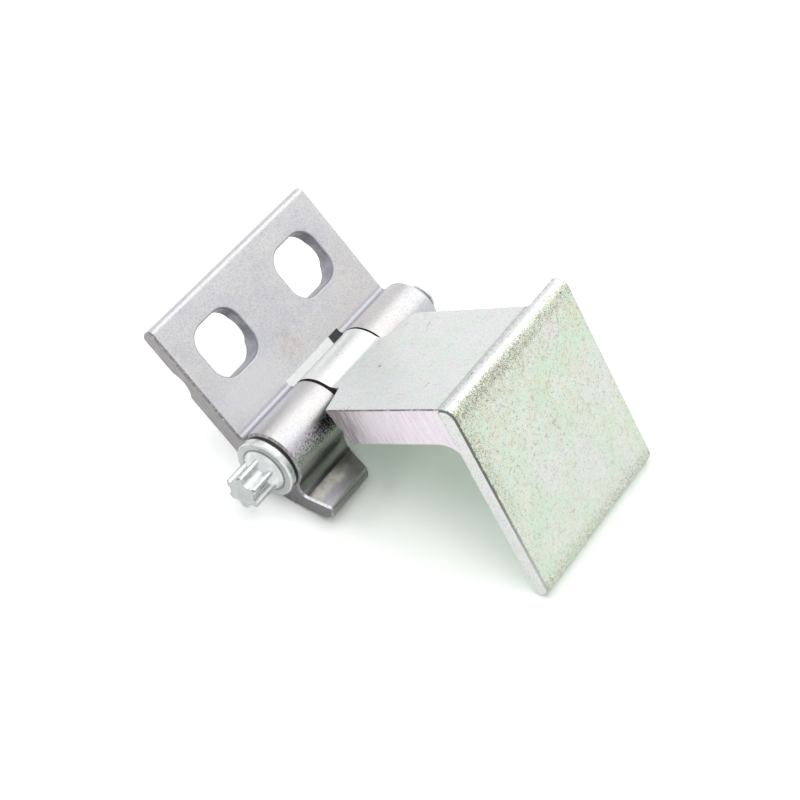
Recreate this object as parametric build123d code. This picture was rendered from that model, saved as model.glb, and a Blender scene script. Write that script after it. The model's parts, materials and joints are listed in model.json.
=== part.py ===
from build123d import *
import os
from math import asin, atan2, cos, degrees, hypot, pi, radians, sin, tan

# Car door hinge: a slotted leaf and an angled leaf that swing on one screwed pin.
# Row frame, in millimetres: +Y along the pin from its head to its thread, +Z up, and
# +X towards the angled leaf's leg. The hinge lies half folded on two lines, the rounded
# heel of the slotted leaf and the lower edge of the leg.

# Fold between the two leaves as they lie, in degrees
FOLD = 106.2                # from the arm round to the slotted plate, about the pin

# Barrel shared by both leaves
BARREL_R = 8.2              # outside of every knuckle
LEAF_WIDTH = 60.0           # slotted leaf, along the pin
NEAR_KNUCKLE = 20.0         # slotted leaf's knuckle under the pin's head
FAR_KNUCKLE = 18.8          # slotted leaf's knuckle that holds the pin's thread
NEAR_GAP = 0.95             # between the near and the middle knuckle
FAR_GAP = 0.60              # between the middle and the far knuckle

# Slotted leaf's plate
PLATE_REACH = 40.8          # pin axis to the free edge
BACK_STAND = 0.8            # back face stands this far behind the barrel
ROOT_THICK = 5.15           # plate beside the barrel
PAD_THICK = 4.25            # plate along its free edge
GROOVE_THICK = 3.3          # plate at the bottom of the groove across its back
GROOVE_R = 5.0
EDGE_R = 1.4                # rounding of the free edge
ROOT_FILLET = 1.2           # plate to barrel, on the front
GROOVE_EDGE_R = 1.2
END_CHAMFER = 0.5           # sawn ends of the slotted leaf

# Slots in the plate, rounded squares that leave room to set the door
SLOT_WIDTH = 14.8           # along the pin
SLOT_HEIGHT = 14.5          # across the plate
SLOT_CORNER_R = 4.9
SLOT_PITCH = 31.4
SLOT_REACH = 26.4           # pin axis to the slots' centre line
SLOT_EDGE_R = 0.5

# Window that lets the middle knuckle turn
WINDOW_ABOVE = 1.5          # beyond the barrel, into the plate

# Lips under the two knuckles, which stop the opening leaf
LIP_ANGLE = 43.0            # below the plate's normal
LIP_OVERLAP = 1.2           # lip's upper face lies this far inside the barrel
LIP_THICK = 4.45
LIP_BEYOND = 8.25           # tip beyond the barrel, along the lip
LIP_FALL = 5.5              # how far each lip falls back from the window, at its tip
LIP_FILLET = 2.4            # barrel to the lip's upper face
LIP_TIP_R = 2.5             # lower corner of the tip
LIP_EDGE_R = 0.8            # upper corner of the tip
HEEL_R = 20.0               # plate's back to the lip's underside

# Angled leaf's arm
ARM_THICK = 10.0
ARM_OFFSET = 0.3            # arm's middle above the pin axis
ARM_REACH = 51.1            # pin axis to the leg's outer face
NEAR_SHOULDER = 8.6         # arm wider than its knuckle, at the pin's head
FAR_SHOULDER = 10.0         # arm wider than its knuckle, at the pin's thread
SHOULDER_GAP = 0.8          # shoulder clear of the barrel, beside the knuckle
SHOULDER_SLANT = 2.4        # how far the shoulders fall back to the arm's sides
UNDERCUT = 2.6              # how far they fall back to the arm's underside
KNUCKLE_FILLET = 3.0        # middle knuckle to the arm
BEND_R = 5.5                # inside of the bend
ARM_EDGE_R = 0.4

# Angled leaf's leg
LEG_THICK = 4.3
LEG_LENGTH = 53.6
LEG_RIDGE = 0.35            # leg's top stands proud of the arm
LEG_NEAR_OVER = 0.9         # leg wider than the arm, at the pin's head
LEG_FAR_OVER = 10.8         # leg wider than the arm, at the pin's thread
LEG_CREST_R = 3.0           # outer top edge
LEG_RIDGE_R = 1.1           # inner top edge, where the ridge falls to the arm
FOOT_OUTER_R = 2.2          # lower edge of the outer face
FOOT_INNER_R = 1.4          # lower edge of the inner face
LEG_NEAR_R = 0.7            # all round the leg's end at the pin's head
LEG_FAR_R = 1.0             # all round the leg's end at the pin's thread

# Pin: a flanged shoulder screw with an external six-lobe head
PIN_R = 4.0
FLANGE_R = 7.75
FLANGE_THICK = 2.1
FLANGE_EDGE_R = 0.5
HEAD_ACROSS = 9.4           # over the lobes
HEAD_ROOT = 6.5             # across the flutes
HEAD_LENGTH = 8.6
LOBE_R = 0.8
LOBES = 6
HEAD_TURN = 52.0            # how far the lobes are turned, in degrees
COLLAR_WIDE = 11.3          # round collar between flange and lobes, at the flange
COLLAR_NARROW = 9.8         # the same collar where the lobes start
COLLAR_LENGTH = 1.25
RUN_OUT = 1.0               # how far the flutes rise to the collar, per millimetre along the pin
HEAD_CHAMFER = 0.5
TIP_OUT = 5.0               # thread beyond the far knuckle
TIP_CHAMFER = 0.9
THREAD_PITCH = 1.25
THREAD_DEPTH = 0.55
THREAD_OPEN = 0.9           # width of the thread's groove at the crests, in pitches

# Bushes in the middle knuckle and washer under the pin's head
BUSH_WALL = 0.8
BUSH_SPACE = 3.65           # grease room left between the two bushes
BUSH_FLANGE = 0.5
FLANGE_SETBACK = 0.8        # bush flanges and washer lie this far inside the barrel
WASHER_THICK = 0.7

# Radial clearances
RUN_FIT = 0.04              # pin in the bushes
SEAT_FIT = 0.03             # pin in the slotted leaf, bushes in the middle knuckle

# Places worked out from the sizes above
BACK = -(BARREL_R + BACK_STAND)
FRONT = BACK + ROOT_THICK
LIP_TOP = BARREL_R - LIP_OVERLAP
LIP_BOTTOM = LIP_TOP + LIP_THICK
LIP_REACH = BARREL_R + LIP_BEYOND
LIP_ROOT = (BARREL_R ** 2 - LIP_TOP ** 2) ** 0.5
FAR_KNUCKLE_Y = LEAF_WIDTH - FAR_KNUCKLE
MIDDLE_NEAR = NEAR_KNUCKLE + NEAR_GAP
MIDDLE_FAR = FAR_KNUCKLE_Y - FAR_GAP
ARM_TOP = ARM_OFFSET + ARM_THICK / 2
ARM_BOTTOM = ARM_OFFSET - ARM_THICK / 2
ARM_NEAR = MIDDLE_NEAR - NEAR_SHOULDER
ARM_FAR = MIDDLE_FAR + FAR_SHOULDER
LEG_NEAR = ARM_NEAR - LEG_NEAR_OVER
LEG_FAR = ARM_FAR + LEG_FAR_OVER
LEG_INNER = ARM_REACH - LEG_THICK
LEG_TOP = ARM_TOP + LEG_RIDGE
LEG_END = LEG_TOP - LEG_LENGTH
BUSH_R = PIN_R + RUN_FIT + BUSH_WALL
BUSH_LENGTH = (MIDDLE_FAR - MIDDLE_NEAR - BUSH_SPACE) / 2
DISC_R = BARREL_R - FLANGE_SETBACK
FAR_BEYOND = 4 * BARREL_R   # reach of a cutter that has to pass right through


def prism(sketch, near, far):
    """A drawing in the X-Z plane, drawn out along the pin from near to far."""
    return Pos(0, near, 0) * extrude(Plane.XZ * sketch, amount=far - near, dir=(0, 1, 0))


def disc(radius, near, far):
    return prism(Circle(radius), near, far)


def round_corner(face, point, radius):
    """Rounds the corner of a flat face that lies nearest to a point."""
    corner = min(face.vertices(), key=lambda v: hypot(v.X - point[0], v.Y - point[1]))
    return face.fillet_2d(radius, [corner])


def edges_at(solid, axis, place):
    """The edges that lie flat in one plane square to an axis."""
    return solid.edges().filter_by_position(axis, place - 1e-4, place + 1e-4)


def lip_point(along, below):
    """A point of the lip: along it from the pin axis, and below the axis square to it."""
    turn = radians(LIP_ANGLE)
    return along * cos(turn) - below * sin(turn), -along * sin(turn) - below * cos(turn)


def heel_corner():
    """Where the plate's back would meet the lip's underside with no rounding."""
    turn = radians(LIP_ANGLE)
    return lip_point((BACK + LIP_BOTTOM * sin(turn)) / cos(turn), LIP_BOTTOM)


def slotted_profile():
    """End view of the slotted leaf: x towards its front, y up the plate, pin at the origin."""
    pad_back = FRONT - PAD_THICK
    tip_low = lip_point(LIP_REACH, LIP_BOTTOM)
    tip_high = lip_point(LIP_REACH, LIP_TOP)
    outline = [(FRONT, 0), (FRONT, PLATE_REACH), (pad_back, PLATE_REACH), (pad_back, SLOT_REACH),
               (BACK, SLOT_REACH), heel_corner(), tip_low, tip_high, lip_point(0, LIP_TOP)]
    groove = Pos(FRONT - GROOVE_THICK - GROOVE_R, SLOT_REACH) * Circle(GROOVE_R)
    face = (Polygon(*outline, align=None) + Circle(BARREL_R) - groove).face()

    def groove_edge(depth, side):
        half = (GROOVE_R ** 2 - (GROOVE_R - depth) ** 2) ** 0.5
        return FRONT - GROOVE_THICK - depth, SLOT_REACH + side * half

    face = round_corner(face, (FRONT, PLATE_REACH), EDGE_R)
    face = round_corner(face, (pad_back, PLATE_REACH), EDGE_R)
    face = round_corner(face, groove_edge(PAD_THICK - GROOVE_THICK, 1), GROOVE_EDGE_R)
    face = round_corner(face, groove_edge(ROOT_THICK - GROOVE_THICK, -1), GROOVE_EDGE_R)
    face = round_corner(face, heel_corner(), HEEL_R)
    face = round_corner(face, tip_low, LIP_TIP_R)
    face = round_corner(face, tip_high, LIP_EDGE_R)
    face = round_corner(face, (FRONT, (BARREL_R ** 2 - FRONT ** 2) ** 0.5), ROOT_FILLET)
    return round_corner(face, lip_point(LIP_ROOT, LIP_TOP), LIP_FILLET)


def window_cutter():
    """Clears the middle knuckle down through the lip, wider towards the lip's tip, and leaves
    the barrel of the other two knuckles whole.
    """
    top = BARREL_R + WINDOW_ABOVE
    straight = Pos(0, top - FAR_BEYOND) * Rectangle(2 * FAR_BEYOND, 2 * FAR_BEYOND)
    slope = LIP_FALL / (LIP_REACH - LIP_ROOT)
    fall = slope * (FAR_BEYOND - LIP_ROOT)
    plan = Polygon((LIP_ROOT, NEAR_KNUCKLE), (FAR_BEYOND, NEAR_KNUCKLE - fall),
                   (FAR_BEYOND, FAR_KNUCKLE_Y + fall), (LIP_ROOT, FAR_KNUCKLE_Y), align=None)
    flare = Rot(Y=LIP_ANGLE) * extrude(plan, amount=FAR_BEYOND, dir=(0, 0, -1))
    return prism(straight, NEAR_KNUCKLE, FAR_KNUCKLE_Y) + (flare - disc(BARREL_R, 0, LEAF_WIDTH))


def slotted_leaf():
    """Rolled section sawn to length, with two slots, a window and the pin's bores."""
    leaf = prism(slotted_profile(), 0, LEAF_WIDTH).solid()
    ends = edges_at(leaf, Axis.Y, 0) + edges_at(leaf, Axis.Y, LEAF_WIDTH)
    leaf = chamfer(ends, END_CHAMFER)
    slot = extrude(RectangleRounded(SLOT_WIDTH, SLOT_HEIGHT, SLOT_CORNER_R), FAR_BEYOND, both=True)
    slot = Rot(Z=90) * Rot(X=90) * slot
    for side in (-0.5, 0.5):
        leaf = leaf - Pos(0, LEAF_WIDTH / 2 + side * SLOT_PITCH, SLOT_REACH) * slot
    rims = edges_at(leaf, Axis.X, FRONT).filter_by(lambda e: abs(e.center().Z - SLOT_REACH) < SLOT_HEIGHT)
    rims = rims.filter_by(lambda e: 2 * END_CHAMFER < e.center().Y < LEAF_WIDTH - 2 * END_CHAMFER)
    leaf = fillet(rims, SLOT_EDGE_R)
    return leaf - window_cutter() - disc(PIN_R + SEAT_FIT, -LEAF_WIDTH, 2 * LEAF_WIDTH)


def arm_profile():
    """End view of the arm with the middle knuckle: x along the arm, y towards its top."""
    inside = ARM_REACH - LEG_THICK / 2
    outline = [(0, ARM_BOTTOM), (LEG_INNER, ARM_BOTTOM), (LEG_INNER, ARM_BOTTOM - 2 * BEND_R),
               (inside, ARM_BOTTOM - 2 * BEND_R), (inside, ARM_TOP), (0, ARM_TOP)]
    face = (Polygon(*outline, align=None) + Circle(BARREL_R)).face()
    face = round_corner(face, (LEG_INNER, ARM_BOTTOM), BEND_R)
    for level in (ARM_TOP, ARM_BOTTOM):
        face = round_corner(face, ((BARREL_R ** 2 - level ** 2) ** 0.5, level), KNUCKLE_FILLET)
    return face


def shoulder_cutter(knuckle_end, arm_side):
    """Frees the arm beside its knuckle, falling back to the arm's side and underside."""
    fall = UNDERCUT / ARM_THICK
    top = 2 * BARREL_R
    shift = -fall * (top - ARM_TOP)
    past = arm_side + (arm_side - knuckle_end)
    inner = BARREL_R + SHOULDER_GAP + shift
    slope = SHOULDER_SLANT / abs(arm_side - knuckle_end)
    outer = inner + slope * abs(past - knuckle_end)
    plan = Polygon((-FAR_BEYOND, knuckle_end), (inner, knuckle_end), (outer, past), (-FAR_BEYOND, past),
                   align=None)
    return extrude(Pos(0, 0, top) * plan, amount=2 * top * hypot(1, fall), dir=(fall, 0, -1))


def leg():
    """Flat leg: a rounded crest at its top, a rounded foot, and both ends eased all round."""
    face = Polygon((LEG_INNER, LEG_END), (ARM_REACH, LEG_END), (ARM_REACH, LEG_TOP), (LEG_INNER, LEG_TOP),
                   align=None).face()
    face = round_corner(face, (ARM_REACH, LEG_TOP), LEG_CREST_R)
    face = round_corner(face, (LEG_INNER, LEG_TOP), LEG_RIDGE_R)
    face = round_corner(face, (ARM_REACH, LEG_END), FOOT_OUTER_R)
    face = round_corner(face, (LEG_INNER, LEG_END), FOOT_INNER_R)
    plate = prism(face, LEG_NEAR, LEG_FAR)
    plate = fillet(edges_at(plate, Axis.Y, LEG_NEAR), LEG_NEAR_R)
    return fillet(edges_at(plate, Axis.Y, LEG_FAR), LEG_FAR_R)


def angled_leaf():
    """Arm with the middle knuckle at one end and a wider leg square to it at the other."""
    arm = prism(arm_profile(), ARM_NEAR, ARM_FAR)
    arm = fillet(edges_at(arm, Axis.Y, ARM_NEAR) + edges_at(arm, Axis.Y, ARM_FAR), ARM_EDGE_R)
    arm = arm - shoulder_cutter(MIDDLE_NEAR, ARM_NEAR) - shoulder_cutter(MIDDLE_FAR, ARM_FAR)
    return arm + leg() - disc(BUSH_R + SEAT_FIT, -LEAF_WIDTH, 2 * LEAF_WIDTH)


def lobed_face():
    """Six-lobe head: convex lobes that run into concave flutes."""
    half = pi / LOBES
    lobe_at = HEAD_ACROSS / 2 - LOBE_R
    root = HEAD_ROOT / 2
    spare = lobe_at ** 2 + root ** 2 - 2 * lobe_at * root * cos(half) - LOBE_R ** 2
    flute_r = spare / (2 * (lobe_at * cos(half) + LOBE_R - root))
    flute_at = root + flute_r

    def polar(radius, angle):
        return Vector(radius * cos(angle), radius * sin(angle))

    def join(lobe_angle, flute_angle):
        lobe, flute = polar(lobe_at, lobe_angle), polar(flute_at, flute_angle)
        return lobe + (flute - lobe).normalized() * LOBE_R

    arcs = []
    for number in range(LOBES):
        angle = 2 * half * number
        start, end = join(angle, angle - half), join(angle, angle + half)
        following = join(angle + 2 * half, angle + half)
        arcs.append(ThreePointArc(start, polar(HEAD_ACROSS / 2, angle), end))
        arcs.append(ThreePointArc(end, polar(root, angle + half), following))
    return make_face(arcs)


def hinge_pin():
    """Shoulder screw: six-lobe head, flange, plain shank and a threaded tip."""
    flange_back = -WASHER_THICK
    flange_front = flange_back - FLANGE_THICK
    head_end = flange_front - HEAD_LENGTH
    tip = LEAF_WIDTH + TIP_OUT
    flange = disc(FLANGE_R, flange_front, flange_back)
    flange = fillet(flange.edges(), FLANGE_EDGE_R)
    head = prism(Rot(Z=HEAD_TURN) * lobed_face(), head_end, flange_front)
    cone_r = HEAD_ACROSS / 2 - HEAD_CHAMFER
    cone = Pos(0, head_end, 0) * Rot(X=-90) * Cone(
        cone_r, cone_r + 2 * HEAD_LENGTH, 2 * HEAD_LENGTH, align=(Align.CENTER, Align.CENTER, Align.MIN))
    root = HEAD_ROOT / 2
    step = flange_front - COLLAR_LENGTH
    run_out_end = step - (COLLAR_NARROW / 2 - root) / RUN_OUT
    collar = revolve(Polygon((0, run_out_end), (root, run_out_end), (COLLAR_NARROW / 2, step),
                             (COLLAR_WIDE / 2, flange_front), (0, flange_front), align=None), Axis.Y)
    shank = disc(PIN_R, flange_front, tip)
    shank = chamfer(edges_at(shank, Axis.Y, tip), TIP_CHAMFER)
    pin = flange + (head & cone) + collar + shank
    half = THREAD_OPEN * THREAD_PITCH / 2
    groove = Polygon((PIN_R - THREAD_DEPTH, 0), (PIN_R, -half), (PIN_R + THREAD_DEPTH, -half),
                     (PIN_R + THREAD_DEPTH, half), (PIN_R, half), align=None)
    turns = int((TIP_OUT - TIP_CHAMFER) / THREAD_PITCH)
    for number in range(turns):
        pin = pin - revolve(Pos(0, LEAF_WIDTH + number * THREAD_PITCH + half, 0) * groove, Axis.Y)
    return pin


def bush(end, inward):
    """Flanged bush: end is the middle knuckle's end, inward the way into it along the pin."""
    places = sorted((end, end + inward * BUSH_LENGTH))
    sleeve = disc(BUSH_R, *places)
    flange = disc(DISC_R, *sorted((end, end - inward * BUSH_FLANGE)))
    return sleeve + flange - disc(PIN_R + RUN_FIT, -LEAF_WIDTH, 2 * LEAF_WIDTH)


def head_washer():
    return disc(DISC_R, -WASHER_THICK, 0) - disc(PIN_R + SEAT_FIT, -LEAF_WIDTH, LEAF_WIDTH)


def rest_tilt():
    """How far the arm rises from the floor when heel and leg both lie on it, in degrees.

    The floor touches two roundings, the heel's and that of the leg's lower inner edge.
    """
    lean = radians(90 - LIP_ANGLE) / 2
    turn = radians(FOLD - 90)
    out, up = BACK + HEEL_R, heel_corner()[1] + HEEL_R * tan(lean)
    across = LEG_INNER + FOOT_INNER_R - (out * cos(turn) - up * sin(turn))
    down = LEG_END + FOOT_INNER_R - (out * sin(turn) + up * cos(turn))
    return degrees(asin((FOOT_INNER_R - HEEL_R) / hypot(across, down)) - atan2(down, across))


def build():
    """Every piece in the row frame, with the origin under the middle of the hinge's box."""
    tilt = rest_tilt()
    arm_turn = Rot(Y=-tilt)
    plate_turn = Rot(Y=-(tilt + FOLD - 90))
    pieces = {
        "slotted_leaf": plate_turn * slotted_leaf(),
        "angled_leaf": arm_turn * angled_leaf(),
        "hinge_pin": plate_turn * hinge_pin(),
        "near_bush": arm_turn * bush(MIDDLE_NEAR, 1),
        "far_bush": arm_turn * bush(MIDDLE_FAR, -1),
        "head_washer": plate_turn * head_washer(),
    }
    box = Compound(list(pieces.values())).bounding_box()
    middle = box.center()
    return {name: Pos(-middle.X, -middle.Y, -box.min.Z) * piece for name, piece in pieces.items()}


os.makedirs("parts", exist_ok=True)
for name, piece in build().items():
    export_step(piece, f"parts/{name}.step")
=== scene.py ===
import json
from math import cos, pi, radians, sin
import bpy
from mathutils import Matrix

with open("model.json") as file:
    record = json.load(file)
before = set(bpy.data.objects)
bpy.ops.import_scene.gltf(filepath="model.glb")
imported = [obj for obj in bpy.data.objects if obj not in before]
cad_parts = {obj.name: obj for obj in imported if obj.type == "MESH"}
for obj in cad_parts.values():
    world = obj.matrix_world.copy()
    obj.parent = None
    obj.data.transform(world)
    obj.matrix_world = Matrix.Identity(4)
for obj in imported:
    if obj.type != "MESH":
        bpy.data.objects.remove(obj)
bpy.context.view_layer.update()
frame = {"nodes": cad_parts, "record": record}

from types import SimpleNamespace
import bpy
from mathutils import Matrix, Vector

# Car door hinge on a pale floor. The CAD nodes are shown as they are; this script gives them
# their metal, and adds the floor, the light and the camera.

record = frame["record"]
mounts = {mount["name"]: mount for mount in record["mounts"]}
PIN = Vector(record["behaviour"]["joints"][0]["pos_m"])       # middle of the barrel, on the pin axis
ALONG_PIN = Vector((0.0, 1.0, 0.0))
ARM_OUT = Vector(mounts["leg_face"]["axis"])                  # along the arm, away from the pin
ARM_UP = ARM_OUT.cross(ALONG_PIN)
PLATE_FRONT = -Vector(mounts["plate_back"]["axis"])           # square to the slotted plate
PLATE_UP = PLATE_FRONT.cross(ALONG_PIN)                       # from the barrel to the free edge
LIP_ANGLE = radians(43.0)                                     # lip, below the plate's normal
MM_PER_M = 1000.0

# Places on the leaves, in millimetres from the middle of the barrel. On the plate and the leg they
# are (along the pin, up), on the arm (out, along the pin). A spot is its middle, radius and soft rim.
SLOT_MIDDLE, SLOT_HALF = 26.5, 8.0                            # height of the slots on the plate
PLATE_PALE_SPOT = ((-18.0, 14.0), 4.0, 10.0)
PLATE_RUST_SPOT = ((-2.5, 15.5), 0.6, 4.5)
LEG_STRAW_SPOT = ((24.0, -11.0), 3.0, 9.0)
LEG_LILAC_SPOTS = (((16.5, -1.5), 1.5, 4.5), ((27.0, -18.5), 4.0, 7.0), ((0.5, -24.0), 3.0, 7.0),
                   ((10.0, -33.0), 3.0, 7.0), ((20.0, -43.0), 2.0, 7.0))
CRACK_Y, CRACK_TOP, CRACK_BEND = 23.5, 1.2, 0.105             # hairline on the leg, a parabola
ARM_PIT = ((16.1, -1.0), 0.20, 0.40)
HEAD_CORNER_R, HEAD_CORNER_Y = 5.75, -32.85                   # pin: where the lobes meet the flange

# Colours of each material, by the thing that has them
STEEL = SimpleNamespace(
    cool=(0.622, 0.626, 0.658), plain=(0.672, 0.668, 0.674), warm=(0.675, 0.650, 0.628),
    mottle=(0.49, 0.48, 0.515), dark_grain=(0.36, 0.35, 0.37), pale_grain=(0.80, 0.79, 0.81),
    pale_spot=(0.735, 0.73, 0.738), rust=(0.52, 0.44, 0.37), valley_shade=(0.45, 0.455, 0.51),
    cut_dark=(0.31, 0.30, 0.30), cut_pale=(0.46, 0.45, 0.445),
    heel_dark=(0.15, 0.15, 0.165), heel_pale=(0.29, 0.28, 0.29), knuckle_gap_shade=(0.10, 0.10, 0.105),
    burr=(0.19, 0.18, 0.18), painted_glint=(0.84, 0.85, 0.89),
    wall_shade=(0.13, 0.128, 0.14), wall_lit=(0.27, 0.27, 0.31), wall_torn=(0.40, 0.40, 0.43),
    slot_rim_shade=(0.36, 0.36, 0.41), olive_reflection=(0.40, 0.42, 0.33), soot_and_reflection=(0.05, 0.05, 0.05),
    stain_dark=(0.33, 0.32, 0.30), stain_pale=(0.44, 0.425, 0.40), lip_crease_shade=(0.09, 0.095, 0.105),
    lip_root_shade=(0.155, 0.16, 0.14), lip_tip=(0.13, 0.13, 0.12), lip_highlight=(1.0, 0.97, 0.91),
    lilac_dark=(0.50, 0.49, 0.54), lilac_pale=(0.70, 0.68, 0.73), lip_edge_highlight=(0.93, 0.93, 0.95))
ZINC = SimpleNamespace(
    greenish=(0.785, 0.845, 0.805), grey=(0.83, 0.84, 0.85), blush=(0.81, 0.755, 0.785),
    inner=(0.67, 0.80, 0.67), mint=(0.735, 0.875, 0.725), pale_mint=(0.825, 0.885, 0.795),
    straw=(0.785, 0.81, 0.63), lilac=(0.86, 0.84, 0.87), vein=(0.40, 0.40, 0.30),
    crack=(0.38, 0.38, 0.31), knuckle_highlight=(0.90, 0.93, 0.915), knuckle_flank_shade=(0.46, 0.50, 0.44),
    dark_grain=(0.50, 0.51, 0.46), pale_grain=(0.95, 0.96, 0.95), dirt=(0.62, 0.60, 0.45),
    speck=(0.24, 0.215, 0.145), scratch=(0.32, 0.33, 0.29), pit=(0.20, 0.20, 0.185),
    crest_shade_line=(0.26, 0.28, 0.26), bare=(0.87, 0.87, 0.86), bare_speck=(0.40, 0.41, 0.34),
    pink_dark=(0.83, 0.74, 0.82), pink_pale=(0.96, 0.885, 0.955), milled_pale=(0.92, 0.94, 0.91),
    milled_shade=(0.27, 0.235, 0.24), milled_green=(0.46, 0.56, 0.43), shoulder_shade=(0.03, 0.03, 0.03),
    broken_edge=(0.13, 0.13, 0.115))
PIN_ZINC = SimpleNamespace(
    dull=(0.68, 0.725, 0.72), bright=(0.83, 0.845, 0.84), grime_and_shade=(0.10, 0.10, 0.09),
    end=(0.36, 0.37, 0.37), worn_rim=(0.14, 0.14, 0.13))
POLYMER = SimpleNamespace(black=(0.012, 0.012, 0.013), dark_grey=(0.028, 0.028, 0.030))

# Sockets of a Mix node that hold its colours
MIX_A, MIX_B, MIX_RESULT = 6, 7, 2


def put(tree, socket, value):
    """Links another node's output to the socket, or sets a plain value on it."""
    if isinstance(value, bpy.types.NodeSocket):
        tree.links.new(value, socket)
    else:
        socket.default_value = value


def mix_colours(tree, amount, a, b):
    """Colour a where amount is 0 and b where it is 1."""
    node = tree.nodes.new("ShaderNodeMix")
    node.data_type = "RGBA"
    put(tree, node.inputs[0], amount)
    for index, colour in ((MIX_A, a), (MIX_B, b)):
        linked = isinstance(colour, bpy.types.NodeSocket)
        put(tree, node.inputs[index], colour if linked else (*colour, 1.0))
    return node.outputs[MIX_RESULT]


class Graph:
    """One material, with short names for the nodes used here.

    x, y and z are the place in millimetres from the pin, along across, the pin and up, and nx, ny
    and nz are the surface normal along the same axes.
    """

    def __init__(self, name, across, up):
        self.material = bpy.data.materials.new(name)
        self.material.use_nodes = True
        self.tree = self.material.node_tree
        self.tree.nodes.clear()
        self.shader = self.tree.nodes.new("ShaderNodeBsdfPrincipled")
        output = self.tree.nodes.new("ShaderNodeOutputMaterial")
        self.tree.links.new(self.shader.outputs["BSDF"], output.inputs["Surface"])
        place = self.tree.nodes.new("ShaderNodeTexCoord")
        from_pin = self.vector("SUBTRACT", place.outputs["Object"], PIN)
        in_mm = self.vector("SCALE", from_pin, scale=MM_PER_M)
        normal = place.outputs["Normal"]
        axes = (across, ALONG_PIN, up)
        self.x, self.y, self.z = (self.vector("DOT_PRODUCT", in_mm, axis) for axis in axes)
        self.nx, self.ny, self.nz = (self.vector("DOT_PRODUCT", normal, axis) for axis in axes)
        self.place = self.combine(self.x, self.y, self.z)

    def put(self, socket, value):
        put(self.tree, socket, value)

    def vector(self, operation, a, b=None, scale=None):
        node = self.tree.nodes.new("ShaderNodeVectorMath")
        node.operation = operation
        self.put(node.inputs[0], a)
        if b is not None:
            self.put(node.inputs[1], b)
        if scale is not None:
            self.put(node.inputs["Scale"], scale)
        return node.outputs["Value" if operation == "DOT_PRODUCT" else "Vector"]

    def combine(self, x, y, z):
        node = self.tree.nodes.new("ShaderNodeCombineXYZ")
        for socket, value in zip(node.inputs, (x, y, z)):
            self.put(socket, value)
        return node.outputs[0]

    def math(self, operation, a, b=0.0):
        node = self.tree.nodes.new("ShaderNodeMath")
        node.operation = operation
        self.put(node.inputs[0], a)
        self.put(node.inputs[1], b)
        return node.outputs[0]

    def chain(self, operation, values):
        total = values[0]
        for value in values[1:]:
            total = self.math(operation, total, value)
        return total

    def add(self, *values):
        return self.chain("ADD", values)

    def times(self, *values):
        return self.chain("MULTIPLY", values)

    def most(self, *values):
        return self.chain("MAXIMUM", values)

    def size(self, value):
        return self.math("ABSOLUTE", value)

    def distance(self, a, b):
        return self.math("SQRT", self.add(self.times(a, a), self.times(b, b)))

    def around(self):
        """Angle about the pin in degrees, from x towards z."""
        return self.math("DEGREES", self.math("ARCTAN2", self.z, self.x))

    def ramp(self, value, low, high, to_low=0.0, to_high=1.0):
        """Smooth step from to_low at low to to_high at high; low may be above high."""
        node = self.tree.nodes.new("ShaderNodeMapRange")
        node.interpolation_type = "SMOOTHSTEP"
        for socket, item in zip(node.inputs, (value, low, high, to_low, to_high)):
            self.put(socket, item)
        return node.outputs[0]

    def band(self, value, middle, half, soft):
        """1 within half of middle, falling to 0 over soft."""
        return self.ramp(self.size(self.math("SUBTRACT", value, middle)), half + soft, half)

    def blob(self, a, b, middle, half, soft):
        """Round patch about a point of the plane that a and b span."""
        offsets = [self.math("SUBTRACT", value, at) for value, at in zip((a, b), middle)]
        return self.ramp(self.distance(*offsets), half + soft, half)

    def noise(self, grain, detail=2.0, stretch=None):
        """Noise between 0 and 1 with features of about grain millimetres."""
        place = self.vector("MULTIPLY", self.place, stretch) if stretch else self.place
        node = self.tree.nodes.new("ShaderNodeTexNoise")
        self.put(node.inputs["Vector"], place)
        self.put(node.inputs["Scale"], 1.0 / grain)
        self.put(node.inputs["Detail"], detail)
        return node.outputs["Fac"]

    def mix(self, amount, a, b):
        return mix_colours(self.tree, amount, a, b)

    def bump(self, height, depth, under=None):
        """Height between 0 and 1, raised by depth millimetres."""
        node = self.tree.nodes.new("ShaderNodeBump")
        node.inputs["Distance"].default_value = depth / MM_PER_M
        self.put(node.inputs["Height"], height)
        if under:
            self.put(node.inputs["Normal"], under)
        return node.outputs["Normal"]

    def finish(self, colour, roughness, normal, metallic=1.0):
        self.put(self.shader.inputs["Base Color"], colour)
        self.put(self.shader.inputs["Roughness"], roughness)
        self.put(self.shader.inputs["Normal"], normal)
        self.put(self.shader.inputs["Metallic"], metallic)
        return self.material


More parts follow.
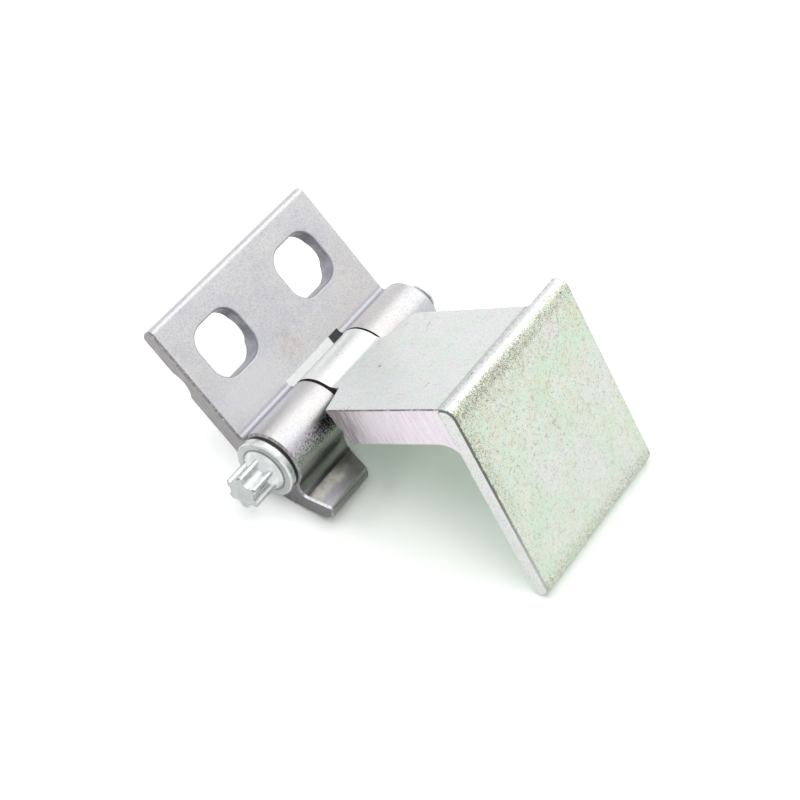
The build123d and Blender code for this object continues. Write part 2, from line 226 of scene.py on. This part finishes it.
def rolled_steel():
    """Satin grey steel of the slotted leaf: rolled faces, sawn ends, punched slots, a stained lip, and
    painted shade, reflections and highlights on the knuckle, slots and lip.
    """
    g = Graph("rolled_steel", PLATE_FRONT, PLATE_UP)
    cloud = g.noise(7.0, 5.0)
    tint = g.noise(15.0, 2.0)
    mottle = g.noise(1.4, 4.0)
    grain = g.noise(0.40, 3.0)
    ragged = g.noise(0.8, 3.0)
    wavy = g.noise(3.0, 4.0)
    around = g.around()
    off_middle = g.size(g.y)
    side_on = g.size(g.ny)
    off_ends = g.ramp(side_on, 0.5, 0.2)
    near_knuckle = g.ramp(g.y, -8.0, -10.0)

    def along_lip(x, z):
        return g.add(g.times(x, cos(LIP_ANGLE)), g.times(z, -sin(LIP_ANGLE)))

    # Rolled faces: cool towards the free edge, warm towards the barrel, one pale and one rusty spot
    colour = g.mix(g.ramp(cloud, 0.36, 0.66), STEEL.cool, STEEL.plain)
    warm = g.times(g.ramp(tint, 0.45, 0.62), g.ramp(g.z, 36.0, 10.0, 0.15, 0.65))
    colour = g.mix(warm, colour, STEEL.warm)
    colour = g.mix(g.ramp(mottle, 0.45, 0.75, 0.0, 0.17), colour, STEEL.mottle)
    colour = g.mix(g.ramp(grain, 0.50, 0.68, 0.0, 0.38), colour, STEEL.dark_grain)
    colour = g.mix(g.ramp(grain, 0.46, 0.30, 0.0, 0.42), colour, STEEL.pale_grain)
    pale = g.blob(g.y, g.z, *PLATE_PALE_SPOT)
    colour = g.mix(g.times(pale, 0.55), colour, STEEL.pale_spot)
    rust = g.times(g.blob(g.y, g.z, *PLATE_RUST_SPOT), g.ramp(mottle, 0.35, 0.65, 0.1, 0.5))
    colour = g.mix(rust, colour, STEEL.rust)

    # Valley between plate and barrel: painted shade that dulls its highlight
    valley_shade = g.times(g.band(g.z, 8.5, 0.4, 0.9), g.ramp(g.x, -1.4, -2.2), g.ramp(g.nx, -0.2, 0.1))
    colour = g.mix(g.times(valley_shade, 0.75), colour, STEEL.valley_shade)
    # Near knuckle's flank beside the plate: painted shade, greyer than the rest
    shaded_flank = g.times(g.band(around, 96.0, 26.0, 24.0), near_knuckle, g.ramp(g.z, 8.6, 8.0))
    colour = g.mix(g.times(shaded_flank, 0.35), colour, STEEL.dark_grain)

    # Sawn ends, darker towards the heel, with a dark line round them and a painted glint outside it;
    # the knuckles' ends inside the barrel are painted nearly black, painted shade in the gaps
    sawn = g.ramp(side_on, 0.80, 0.97)
    marks = g.noise(0.30, 3.0, stretch=(1.0, 1.0, 0.07))
    cut = g.mix(g.ramp(marks, 0.35, 0.68), STEEL.cut_dark, STEEL.cut_pale)
    heel = g.mix(ragged, STEEL.heel_dark, STEEL.heel_pale)
    cut = g.mix(g.ramp(g.z, 4.0, -8.0, 0.0, 0.75), cut, heel)
    inside = g.ramp(off_middle, 28.0, 26.0)
    colour = g.mix(sawn, colour, g.mix(inside, cut, STEEL.knuckle_gap_shade))
    burr = g.times(g.ramp(side_on, 0.35, 0.55), g.ramp(side_on, 0.92, 0.80),
                   g.ramp(ragged, 0.3, 0.6, 0.4, 0.85), g.ramp(g.y, 5.0, -5.0, 0.2, 1.0))
    colour = g.mix(burr, colour, STEEL.burr)
    painted_glint = g.times(g.band(side_on, 0.18, 0.07, 0.06), g.ramp(ragged, 0.42, 0.56, 0.0, 0.7))
    colour = g.mix(painted_glint, colour, STEEL.painted_glint)

    # Punched walls of the slots, with painted shade: dark where they face the barrel and pale where they
    # face the free edge, with torn lighter patches
    at_slots = g.times(g.ramp(off_middle, 29.0, 28.0), g.band(g.z, SLOT_MIDDLE, SLOT_HALF, 1.0))
    wall = g.times(g.ramp(g.size(g.nx), 0.75, 0.35), at_slots)
    punched = g.mix(g.ramp(g.nz, -0.7, 0.5), STEEL.wall_shade, STEEL.wall_lit)
    punched = g.mix(g.ramp(wavy, 0.50, 0.62, 0.0, 0.55), punched, STEEL.wall_torn)
    colour = g.mix(g.times(wall, 0.95), colour, punched)
    # Rims of the slots painted darker: painted shade that dulls their highlight
    rim = g.times(g.band(g.nx, 0.72, 0.20, 0.10), at_slots)
    colour = g.mix(g.times(rim, 0.75), colour, STEEL.slot_rim_shade)

    # Near knuckle: an olive painted reflection low down, and above it black speckled grime mixed with a
    # painted dark reflection, thinning towards the pin's head
    olive_reflection = g.times(g.ramp(around, -16.0, -26.0), g.ramp(around, -60.0, -48.0), near_knuckle, off_ends)
    colour = g.mix(g.times(olive_reflection, 0.50), colour, STEEL.olive_reflection)
    grime_and_shade = g.times(g.band(around, -14.0, 9.0, 16.0), g.ramp(g.y, -30.0, -14.0, 0.55, 1.0),
                    near_knuckle, off_ends)
    soot_and_reflection = g.ramp(g.add(grain, g.times(grime_and_shade, 0.20)), 0.62, 0.70)
    colour = g.mix(g.times(grime_and_shade, soot_and_reflection, 0.85), colour, STEEL.soot_and_reflection)

    # Lip: stained, with painted shade in a line and strip at its root, and a dark tip
    along = along_lip(g.x, g.z)
    forward = along_lip(g.nx, g.nz)
    on_lip = g.ramp(along, 7.9, 8.5)
    stain = g.mix(g.ramp(wavy, 0.35, 0.65), STEEL.stain_dark, STEEL.stain_pale)
    colour = g.mix(g.times(on_lip, off_ends, 0.80), colour, stain)
    crease_shade = g.times(g.band(along, 8.9, 0.25, 0.4), on_lip, off_ends)
    colour = g.mix(g.times(crease_shade, 0.7), colour, STEEL.lip_crease_shade)
    root_shade = g.times(g.ramp(along, 9.5, 9.1), g.band(around, -74.0, 22.0, 9.0), off_ends)
    colour = g.mix(g.times(root_shade, 0.76), colour, STEEL.lip_root_shade)
    colour = g.mix(g.times(on_lip, g.ramp(forward, 0.75, 0.92), 0.50), colour, STEEL.lip_tip)

    # Lip's upper face: a warm painted highlight patch, lilac beyond it, and painted highlights on the edges
    # at its two ends
    upper = g.times(g.ramp(g.nx, 0.80, 0.70), g.ramp(g.nz, 0.45, 0.60))
    drift = g.add(along, g.times(wavy, 3.0), -1.5)
    lip_highlight_patch = g.times(upper, g.band(drift, 11.4, 1.2, 1.8),
                    g.ramp(g.add(g.y, g.times(wavy, 6.0)), -12.5, -18.5))
    colour = g.mix(g.times(lip_highlight_patch, g.ramp(mottle, 0.30, 0.55, 0.70, 1.0)), colour, STEEL.lip_highlight)
    lilac = g.times(upper, g.ramp(drift, 11.8, 14.0), g.ramp(g.y, -16.0, -23.0))
    colour = g.mix(g.times(lilac, 0.85), colour, g.mix(mottle, STEEL.lilac_dark, STEEL.lilac_pale))
    bright = g.times(on_lip, g.ramp(g.nz, 0.15, 0.35), g.band(side_on, 0.62, 0.22, 0.12))
    colour = g.mix(g.times(bright, g.ramp(ragged, 0.30, 0.50, 0.5, 1.0)), colour, STEEL.lip_edge_highlight)

    roughness = g.add(g.ramp(cloud, 0.3, 0.7, 0.29, 0.36), g.times(grain, 0.06), g.times(sawn, 0.10),
                      g.times(lip_highlight_patch, 0.22))
    normal = g.bump(grain, 0.05)
    normal = g.bump(g.times(marks, sawn), 0.03, normal)
    return g.finish(colour, roughness, normal)


def zinc_plate():
    """Pale iridescent zinc of the angled leaf: green and pink bloom, milled sides, speckled leg, a painted
    highlight on the knuckle and painted shade beside the barrel and below the crest.
    """
    g = Graph("zinc_plate", ARM_OUT, ARM_UP)
    bloom = g.noise(6.0, 5.0)
    blush = g.noise(2.6, 5.0)
    straw = g.noise(4.0, 6.0)
    drift = g.noise(8.0, 3.0)
    fleck = g.noise(1.2, 5.0)
    grain = g.noise(0.40, 2.0)
    speck = g.noise(0.23, 1.0)
    ragged = g.noise(0.9, 5.0)
    radius = g.distance(g.x, g.z)
    near = g.times(g.ny, -1.0)
    on_arm = g.ramp(g.x, 46.9, 46.5)
    on_leg = g.ramp(g.x, 45.0, 47.5)
    outer = g.times(on_leg, g.ramp(g.nx, 0.56, 0.88))

    # Arm's top: pale grey with a faint green and pink bloom
    colour = g.mix(g.ramp(bloom, 0.38, 0.62), ZINC.greenish, ZINC.grey)
    colour = g.mix(g.ramp(blush, 0.48, 0.68, 0.0, 0.50), colour, ZINC.blush)

    # Arm's underside and leg's back: greener
    leg_back = g.times(g.ramp(g.nx, -0.5, -0.8), g.ramp(g.x, 30.0, 40.0))
    inner = g.most(g.ramp(g.nz, -0.5, -0.8), leg_back)
    colour = g.mix(g.times(inner, g.ramp(bloom, 0.30, 0.65, 1.0, 0.70)), colour, ZINC.inner)

    # Leg's outer face: mint, with straw and lilac patches, fine veins and a hairline crack
    mint = g.mix(g.ramp(bloom, 0.40, 0.62), ZINC.mint, ZINC.pale_mint)
    yellowed = g.times(g.ramp(g.add(straw, g.times(fleck, 0.45)), 0.64, 0.86),
                       g.ramp(g.z, -36.0, -2.0, 0.35, 0.80))
    straw_spot = g.times(g.blob(g.y, g.z, *LEG_STRAW_SPOT), g.ramp(straw, 0.40, 0.60), 0.7)
    mint = g.mix(g.most(yellowed, straw_spot), mint, ZINC.straw)
    lilac = g.most(*[g.blob(g.y, g.z, *spot) for spot in LEG_LILAC_SPOTS])
    lilac = g.add(g.times(lilac, 0.42), g.ramp(drift, 0.46, 0.62, 0.0, 0.16))
    mint = g.mix(g.times(lilac, g.ramp(blush, 0.36, 0.58, 0.45, 1.0)), mint, ZINC.lilac)
    veins = g.times(g.band(g.noise(3.2, 5.0), 0.5, 0.004, 0.010), g.ramp(fleck, 0.42, 0.60))
    mint = g.mix(g.times(veins, 0.42), mint, ZINC.vein)
    down = g.math("SUBTRACT", CRACK_TOP, g.z)
    beside = g.add(g.y, g.times(down, down, CRACK_BEND), g.times(fleck, 1.2))
    crack = g.times(g.band(beside, CRACK_Y, 0.06, 0.16), g.band(g.z, -5.8, 6.2, 1.0),
                    g.ramp(ragged, 0.36, 0.52, 0.25, 0.60))
    mint = g.mix(crack, mint, ZINC.crack)
    colour = g.mix(outer, colour, mint)

    # Knuckle: painted lighter as a painted highlight, with painted shade on its flank towards the plate
    colour = g.mix(g.ramp(radius, 9.0, 8.4), colour, ZINC.knuckle_highlight)
    shaded_flank = g.times(g.ramp(g.around(), 112.0, 135.0), g.ramp(g.x, -2.0, -3.0))
    colour = g.mix(g.times(shaded_flank, 0.60), colour, ZINC.knuckle_flank_shade)

    # Fine grain all over, calmer on the leg's outer face
    calm = g.ramp(outer, 0.0, 1.0, 1.0, 0.65)
    colour = g.mix(g.times(calm, g.ramp(grain, 0.50, 0.66, 0.0, 0.30)), colour, ZINC.dark_grain)
    colour = g.mix(g.times(calm, g.ramp(grain, 0.46, 0.30, 0.0, 0.40)), colour, ZINC.pale_grain)

    # Speckle on the leg's outer face, thick under the crest and along the edges
    under_crest = g.most(g.times(g.ramp(g.z, -10.0, 2.5), 0.60), g.ramp(g.z, -0.5, 2.0))
    at_foot = g.ramp(g.z, -40.5, -46.5)
    at_near = g.times(g.ramp(g.y, -9.5, -17.5), g.ramp(g.z, -44.0, -6.0, 0.35, 1.0))
    at_far = g.ramp(g.y, 27.5, 31.0)
    dirt = g.most(g.times(under_crest, g.ramp(g.y, 31.0, -10.0, 0.70, 1.0)), g.times(at_foot, 0.74),
                  g.times(at_near, 0.72), g.times(at_far, 0.30))
    dirt = g.times(g.add(dirt, 0.09), g.ramp(ragged, 0.28, 0.56, 0.50, 1.0))
    spots = g.ramp(g.add(speck, g.times(dirt, 0.24)), 0.72, 0.77)
    colour = g.mix(g.times(outer, g.ramp(dirt, 0.15, 1.0, 0.0, 0.18)), colour, ZINC.dirt)
    colour = g.mix(g.times(outer, spots, 0.75), colour, ZINC.speck)

    # Hairline scratches
    hair = g.band(g.noise(9.0, 3.0), 0.5, 0.0012, 0.003)
    hair = g.times(hair, g.ramp(g.noise(4.0, 2.0), 0.50, 0.60), 0.40)
    colour = g.mix(hair, colour, ZINC.scratch)

    # Arm's top: one dark pit, a scuff, a few pinholes, and lines of painted shade in the corner and crease
    # below the crest
    on_top = g.ramp(g.nz, 0.75, 0.90)
    pinholes = g.times(g.ramp(g.noise(0.9, 0.0), 0.85, 0.88), 0.5)
    pits = g.most(g.times(g.blob(g.x, g.y, *ARM_PIT), 0.75), pinholes)
    scuff = g.times(g.band(g.add(g.x, g.times(g.y, 0.2)), 35.1, 0.10, 0.22), g.band(g.y, -8.3, 0.8, 0.6),
                    g.ramp(ragged, 0.35, 0.55, 0.05, 0.30))
    colour = g.mix(g.times(on_top, g.most(pits, scuff)), colour, ZINC.pit)
    corner_shade = g.times(g.band(g.x, 46.75, 0.35, 0.65), g.ramp(ragged, 0.25, 0.60, 0.45, 1.0))
    crease_line_shade = g.times(g.band(g.x, 48.0, 0.07, 0.14), g.ramp(ragged, 0.42, 0.52))
    shade_lines_by_crest = g.most(g.times(corner_shade, 0.45), g.times(crease_line_shade, 0.55))
    colour = g.mix(g.times(on_top, shade_lines_by_crest), colour, ZINC.crest_shade_line)

    # Leg's near side: bare pale zinc with a few specks
    bare = g.times(on_leg, g.ramp(near, 0.80, 0.95))
    colour = g.mix(g.times(bare, g.ramp(bloom, 0.30, 0.60, 0.40, 0.85)), colour, ZINC.bare)
    bare_specks = g.ramp(g.add(speck, g.times(ragged, 0.12)), 0.64, 0.71, 0.0, 0.6)
    colour = g.mix(g.times(bare, bare_specks), colour, ZINC.bare_speck)

    # Milled sides of the arm: pink, with cutter lines across them, and painted shade beside the barrel
    milled = g.times(g.ramp(g.size(g.ny), 0.70, 0.95), on_arm)
    lines = g.noise(0.24, 3.0, stretch=(1.0, 1.0, 0.04))
    broad = g.noise(1.5, 3.0, stretch=(1.0, 1.0, 0.16))
    pink = g.mix(g.ramp(lines, 0.34, 0.60), ZINC.pink_dark, ZINC.pink_pale)
    pink = g.mix(g.ramp(broad, 0.50, 0.66, 0.0, 0.45), pink, ZINC.milled_pale)
    # dull holds the painted shade beside the barrel
    dull = g.times(g.ramp(g.x, 24.0, 11.0), g.ramp(lines, 0.62, 0.40, 0.25, 1.0))
    pink = g.mix(g.times(dull, 0.90), pink, ZINC.milled_shade)
    green = g.times(g.ramp(speck, 0.62, 0.68), g.ramp(broad, 0.42, 0.56), 0.70)
    pink = g.mix(green, pink, ZINC.milled_green)
    colour = g.mix(milled, colour, pink)

    # Shoulders beside the barrel: painted black shade
    shaded_shoulder = g.times(g.ramp(g.nx, -0.30, -0.60), g.ramp(g.x, 17.0, 15.0))
    colour = g.mix(g.times(shaded_shoulder, g.ramp(radius, 8.3, 8.7), 0.92), colour, ZINC.shoulder_shade)

    # Dark lines where the plating broke along the near edges
    frayed = g.add(g.times(ragged, 0.9), g.times(speck, 0.9), -0.9)
    turned = g.most(g.ramp(g.nx, 0.10, 0.30), g.ramp(g.nz, 0.20, 0.40))
    line_near = g.times(g.ramp(g.add(near, frayed), 0.10, 0.34), g.ramp(near, 0.97, 0.88), turned, on_leg,
                        g.ramp(g.z, -47.0, -12.0, 0.40, 0.90))
    line_back = g.times(g.ramp(g.nx, -0.25, -0.50), g.ramp(near, 0.30, 0.55), on_leg,
                        g.ramp(ragged, 0.38, 0.54), 0.5)
    line_top = g.times(g.ramp(g.nz, 0.12, 0.35), g.ramp(near, 0.12, 0.35), on_arm,
                       g.ramp(ragged, 0.30, 0.56, 0.45, 0.85))
    colour = g.mix(g.most(line_near, line_back, line_top), colour, ZINC.broken_edge)

    roughness = g.add(g.ramp(bloom, 0.3, 0.7, 0.33, 0.41), g.times(grain, 0.06), g.times(spots, outer, 0.2))
    normal = g.bump(g.add(g.times(grain, 0.6), g.times(speck, 0.4)), 0.028)
    normal = g.bump(g.times(lines, milled), 0.02, normal)
    return g.finish(colour, roughness, normal)


def bright_zinc():
    """Bright zinc of the screwed pin: painted shade where the lobes meet the flange, darker end faces with
    a worn dark rim.
    """
    g = Graph("bright_zinc", PLATE_FRONT, PLATE_UP)
    cloud = g.noise(1.8, 4.0)
    grain = g.noise(0.22, 2.0)
    outward = g.times(g.ny, -1.0)
    colour = g.mix(g.ramp(cloud, 0.38, 0.64), PIN_ZINC.dull, PIN_ZINC.bright)
    # Painted shade in the corner where the lobes meet the flange
    corner_shade = g.times(g.band(g.distance(g.x, g.z), HEAD_CORNER_R, 0.10, 0.22),
                     g.band(g.y, HEAD_CORNER_Y, 0.12, 0.20))
    colour = g.mix(g.times(corner_shade, 0.8), colour, PIN_ZINC.grime_and_shade)
    ends = g.ramp(outward, 0.85, 0.97)
    colour = g.mix(g.times(ends, g.ramp(grain, 0.40, 0.68, 0.35, 0.75)), colour, PIN_ZINC.end)
    rim = g.times(g.band(outward, 0.68, 0.12, 0.12), g.ramp(g.y, -40.1, -40.6), g.ramp(cloud, 0.44, 0.60))
    colour = g.mix(g.times(rim, 0.70), colour, PIN_ZINC.worn_rim)
    roughness = g.add(g.ramp(cloud, 0.3, 0.7, 0.24, 0.32), g.times(ends, 0.08))
    return g.finish(colour, roughness, g.bump(grain, 0.012))


def black_polymer():
    """Black bearing polymer of the bushes and the washer."""
    g = Graph("black_polymer", ARM_OUT, ARM_UP)
    cloud = g.noise(1.5, 3.0)
    colour = g.mix(cloud, POLYMER.black, POLYMER.dark_grey)
    roughness = g.ramp(cloud, 0.3, 0.7, 0.45, 0.6)
    return g.finish(colour, roughness, g.bump(g.noise(0.2), 0.01), metallic=0.0)


def dress(node, material):
    slots = frame["nodes"][node].data.materials
    slots.clear()
    slots.append(material)


polymer = black_polymer()
dress("slotted_leaf", rolled_steel())
dress("angled_leaf", zinc_plate())
dress("hinge_pin", bright_zinc())
for piece in ("near_bush", "far_bush", "head_washer"):
    dress(piece, polymer)


# Floor and light. The floor and the sky have one level for the light they throw on other things,
# one for gloss and one for the camera, so that the ground is white without more light on the hinge.

FLOOR_LIGHT, FLOOR_GLOSS, FLOOR_SEEN = (0.90, 0.90, 0.90), (1.24, 1.24, 1.24), (1.485, 1.50, 1.485)
SKY_LIGHT, SKY_GLOSS, SKY_SEEN = (0.10, 0.10, 0.10), (0.97, 0.97, 0.97), (1.0, 1.0, 1.0)
FLOOR_R, FLOOR_SIDES = 0.22, 128
# Softboxes: direction from the origin, distance, width and depth in metres, power in watts
SOFTBOXES = {
    "top": dict(where=Vector((0.05, -0.05, 1.0)), far=0.80, wide=1.00, deep=1.00, power=3.9,
                in_gloss=False),
    "key": dict(where=Vector((-0.08, 0.55, 0.82)), far=0.65, wide=0.66, deep=0.45, power=0.72,
                in_gloss=True),
    "low": dict(where=Vector((-0.86, -0.35, 0.42)), far=0.80, wide=0.70, deep=0.55, power=3.8,
                in_gloss=False)}
# Camera at the photograph's viewing angle: lens in millimetres, place in metres
LENS, SENSOR_WIDTH, CLIP_START = 86.03, 36.0, 0.01
CAMERA_PLACE = Vector((0.13612, -0.25173, 0.35879))
CAMERA_RIGHT = Vector((0.83533, 0.54497, 0.07236)).normalized()
CAMERA_BACK = Vector((0.30394, -0.56749, 0.76523)).normalized()


def by_ray(tree, plain, glossy, seen):
    """Colour that depends on the kind of ray: plain light, gloss, or the camera's view."""
    path = tree.nodes.new("ShaderNodeLightPath")
    colour = mix_colours(tree, path.outputs["Is Glossy Ray"], plain, glossy)
    return mix_colours(tree, path.outputs["Is Camera Ray"], colour, seen)


def pale_floor():
    material = bpy.data.materials.new("pale_floor")
    material.use_nodes = True
    tree = material.node_tree
    tree.nodes.clear()
    matt = tree.nodes.new("ShaderNodeBsdfDiffuse")
    tree.links.new(by_ray(tree, FLOOR_LIGHT, FLOOR_GLOSS, FLOOR_SEEN), matt.inputs["Color"])
    output = tree.nodes.new("ShaderNodeOutputMaterial")
    tree.links.new(matt.outputs[0], output.inputs["Surface"])
    return material


def floor():
    turns = [2.0 * pi * i / FLOOR_SIDES for i in range(FLOOR_SIDES)]
    mesh = bpy.data.meshes.new("floor")
    mesh.from_pydata([(FLOOR_R * cos(a), FLOOR_R * sin(a), 0.0) for a in turns], [], [range(FLOOR_SIDES)])
    mesh.materials.append(pale_floor())
    obj = bpy.data.objects.new("floor", mesh)
    bpy.context.scene.collection.objects.link(obj)


def sky():
    world = bpy.data.worlds.new("studio")
    bpy.context.scene.world = world
    world.use_nodes = True
    tree = world.node_tree
    tree.links.new(by_ray(tree, SKY_LIGHT, SKY_GLOSS, SKY_SEEN), tree.nodes["Background"].inputs["Color"])


def softbox(name, where, far, wide, deep, power, in_gloss):
    light = bpy.data.lights.new(name, "AREA")
    light.shape, light.size, light.size_y, light.energy = "RECTANGLE", wide, deep, power
    obj = bpy.data.objects.new(name, light)
    obj.visible_glossy = in_gloss
    obj.location = where.normalized() * far
    obj.rotation_mode = "QUATERNION"
    obj.rotation_quaternion = (-where).to_track_quat("-Z", "Y")
    bpy.context.scene.collection.objects.link(obj)


def camera():
    data = bpy.data.cameras.new("camera")
    data.lens, data.sensor_width, data.clip_start = LENS, SENSOR_WIDTH, CLIP_START
    obj = bpy.data.objects.new("camera", data)
    turn = Matrix((CAMERA_RIGHT, CAMERA_BACK.cross(CAMERA_RIGHT), CAMERA_BACK)).transposed().to_4x4()
    obj.matrix_world = Matrix.Translation(CAMERA_PLACE) @ turn
    bpy.context.scene.collection.objects.link(obj)
    bpy.context.scene.camera = obj


floor()
sky()
for name, box in SOFTBOXES.items():
    softbox(name, **box)
camera()
bpy.context.scene.view_settings.view_transform = "Standard"
